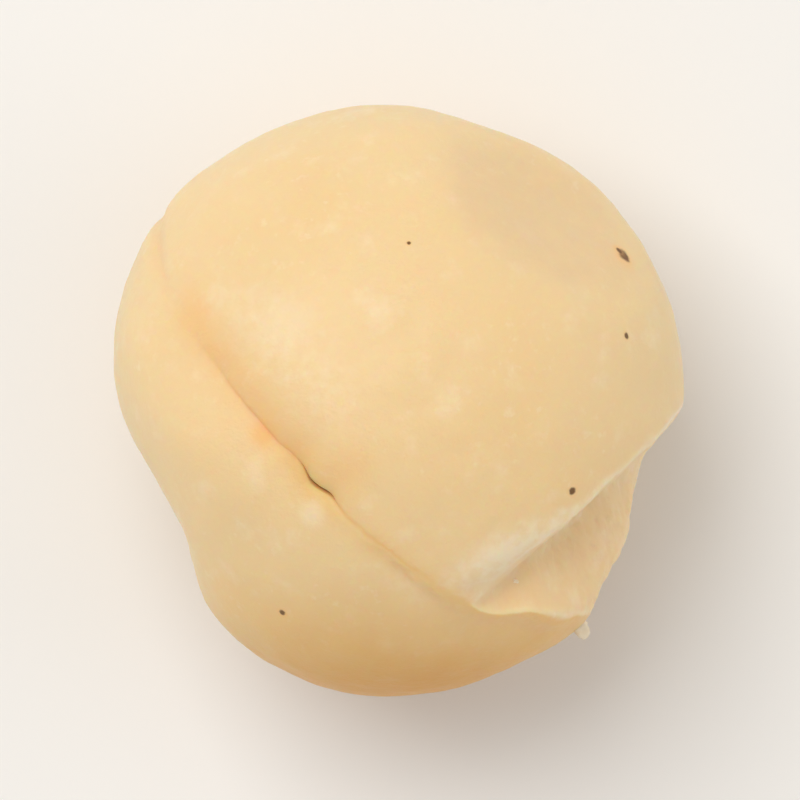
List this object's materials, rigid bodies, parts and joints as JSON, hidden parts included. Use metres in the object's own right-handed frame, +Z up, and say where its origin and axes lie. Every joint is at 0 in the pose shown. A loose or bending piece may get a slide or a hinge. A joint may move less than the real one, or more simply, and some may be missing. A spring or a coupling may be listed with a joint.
{
  "type": "shelled macadamia kernel",
  "caption": "Whole shelled macadamia kernel: a rounded cream body with a slanting seam, a short crack, a chipped corner and a small flat to rest on.",
  "frame": {"origin": "bottom centre of the kernel's box, on the small flat it rests on", "axes": "+Z up from the resting flat, +Y along the kernel's longest side, +X towards the chipped side"},
  "size_m": [0.0184, 0.0192, 0.0157],
  "materials": {
    "kernel": "satin, slightly waxy nut flesh"
  },
  "bodies": {
    "root": {"kernel": "kernel"}
  },
  "joints": []
}
